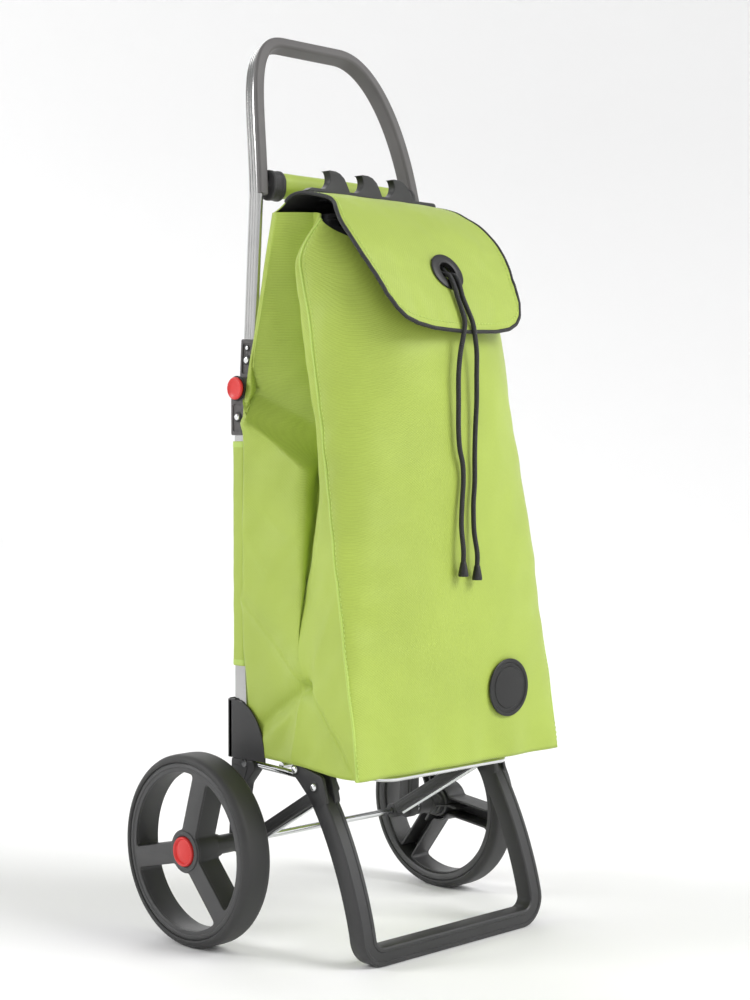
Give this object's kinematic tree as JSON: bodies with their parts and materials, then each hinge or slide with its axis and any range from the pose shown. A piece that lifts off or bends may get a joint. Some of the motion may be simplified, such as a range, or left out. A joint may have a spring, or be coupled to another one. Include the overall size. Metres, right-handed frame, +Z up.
{
  "type": "shopping trolley",
  "caption": "Folding shopping trolley with two spoked wheels, tubular frame with a looped handle, fold-up foot, and a soft bag closed by a flap with a drawcord.",
  "frame": {"origin": "on the floor, under the middle of the trolley's width and depth", "axes": "+Z up, -Y towards the bag's front and the foot, +X to the right-hand side as seen from the front"},
  "size_m": [0.455, 0.35, 1.0595],
  "materials": {
    "tube_aluminium": "satin anodised",
    "chrome_steel": "bright plated",
    "grey_plastic": "fine grain",
    "grip_foam": "soft satin",
    "charcoal_plastic": "satin",
    "green_fabric": "plain weave with a slight sheen",
    "black_fabric": "woven",
    "black_plastic": "satin",
    "red_plastic": "semi-gloss",
    "tyre_rubber": "smooth"
  },
  "bodies": {
    "frame": {"lower_tube_left": "tube_aluminium", "lower_tube_right": "tube_aluminium", "lower_crossbar": "tube_aluminium", "knuckle_lower_left": "grey_plastic", "knuckle_lower_right": "grey_plastic", "pivot_pins": "chrome_steel", "knuckle_rivets_lower": "chrome_steel", "tube_sleeve_left": "green_fabric", "tube_sleeve_right": "green_fabric", "apron": "charcoal_plastic", "rear_leg_left": "charcoal_plastic", "rear_leg_right": "charcoal_plastic", "leg_bolts": "chrome_steel", "axle": "chrome_steel", "axle_washers": "chrome_steel", "platform_pins": "chrome_steel", "bag_body": "green_fabric", "bag_collar": "black_fabric", "badge": "black_plastic", "drawcord_left": "black_fabric", "drawcord_right": "black_fabric", "cord_end_left": "black_plastic", "cord_end_right": "black_plastic", "button_springs": "chrome_steel"},
    "upper_frame": {"handle_tube": "tube_aluminium", "handle_grip": "grip_foam", "upper_crossbar": "tube_aluminium", "crossbar_band": "green_fabric", "crossbar_straps": "black_fabric", "hook_rail": "charcoal_plastic", "rail_screws": "chrome_steel", "knuckle_upper_left": "grey_plastic", "knuckle_upper_right": "grey_plastic", "knuckle_rivets_upper": "chrome_steel", "flap_root": "green_fabric"},
    "flap": {"bag_flap": "green_fabric", "flap_piping": "black_fabric", "eyelet": "black_plastic"},
    "button_left": {"fold_button_left": "red_plastic"},
    "button_right": {"fold_button_right": "red_plastic"},
    "platform": {"platform_bar_left": "chrome_steel", "platform_bar_right": "chrome_steel", "platform_tie": "chrome_steel", "platform_wire": "chrome_steel", "base_board": "black_plastic"},
    "foot": {"foot_frame": "charcoal_plastic", "foot_pins": "chrome_steel"},
    "strut_left": {"strut_left": "charcoal_plastic", "strut_rod_left": "chrome_steel"},
    "strut_right": {"strut_right": "charcoal_plastic", "strut_rod_right": "chrome_steel"},
    "wheel_left": {"wheel_rim_left": "charcoal_plastic", "tyre_left": "tyre_rubber", "hub_cap_left": "red_plastic", "wheel_bush_left": "black_plastic"},
    "wheel_right": {"wheel_rim_right": "charcoal_plastic", "tyre_right": "tyre_rubber", "hub_cap_right": "red_plastic", "wheel_bush_right": "black_plastic"}
  },
  "joints": [
    {"name": "handle_fold", "type": "hinge", "parent": "frame", "child": "upper_frame", "pos_m": [0, 0.0535, 0.637], "axis": [-1, 0, 0], "range_deg": [0, 165], "deforming": ["bag_body", "bag_collar", "drawcord_left", "drawcord_right", "cord_end_left", "cord_end_right"]},
    {"name": "flap_hinge", "type": "hinge", "parent": "upper_frame", "child": "flap", "pos_m": [0, -0.021, 0.853], "axis": [-1, 0, 0], "range_deg": [0, 85], "deforming": ["drawcord_left", "drawcord_right"]},
    {"name": "button_left_push", "type": "slide", "parent": "frame", "child": "button_left", "axis": [1, 0, 0], "range_m": [0, 0.002], "stiffness_N_per_m": 600, "springref_m": -0.001, "deforming": ["button_springs"]},
    {"name": "button_right_push", "type": "slide", "parent": "frame", "child": "button_right", "axis": [-1, 0, 0], "range_m": [0, 0.002], "stiffness_N_per_m": 600, "springref_m": -0.001, "deforming": ["button_springs"]},
    {"name": "platform_fold", "type": "hinge", "parent": "frame", "child": "platform", "pos_m": [0, 0.041, 0.204], "axis": [-1, 0, 0], "range_deg": [0, 64], "deforming": ["bag_body", "badge"]},
    {"name": "foot_fold", "type": "hinge", "parent": "platform", "child": "foot", "pos_m": [0, -0.048, 0.208], "axis": [-1, 0, 0], "range_deg": [-92.5, 0]},
    {"name": "strut_left_fold", "type": "hinge", "parent": "frame", "child": "strut_left", "pos_m": [0, 0.059, 0.11], "axis": [-1, 0, 0], "range_deg": [0, 33.6]},
    {"name": "strut_right_fold", "type": "hinge", "parent": "frame", "child": "strut_right", "pos_m": [0, 0.059, 0.11], "axis": [-1, 0, 0], "range_deg": [0, 33.6]},
    {"name": "wheel_left_spin", "type": "hinge", "parent": "frame", "child": "wheel_left", "pos_m": [-0.206, 0.059, 0.11], "axis": [1, 0, 0], "continuous": true},
    {"name": "wheel_right_spin", "type": "hinge", "parent": "frame", "child": "wheel_right", "pos_m": [0.206, 0.059, 0.11], "axis": [1, 0, 0], "continuous": true}
  ],
  "couplings": [
    {"joint": "foot_fold", "follows": "platform_fold", "ratio": -1.4432},
    {"joint": "strut_left_fold", "follows": "platform_fold", "ratio": 0.5243},
    {"joint": "strut_right_fold", "follows": "platform_fold", "ratio": 0.5243}
  ]
}
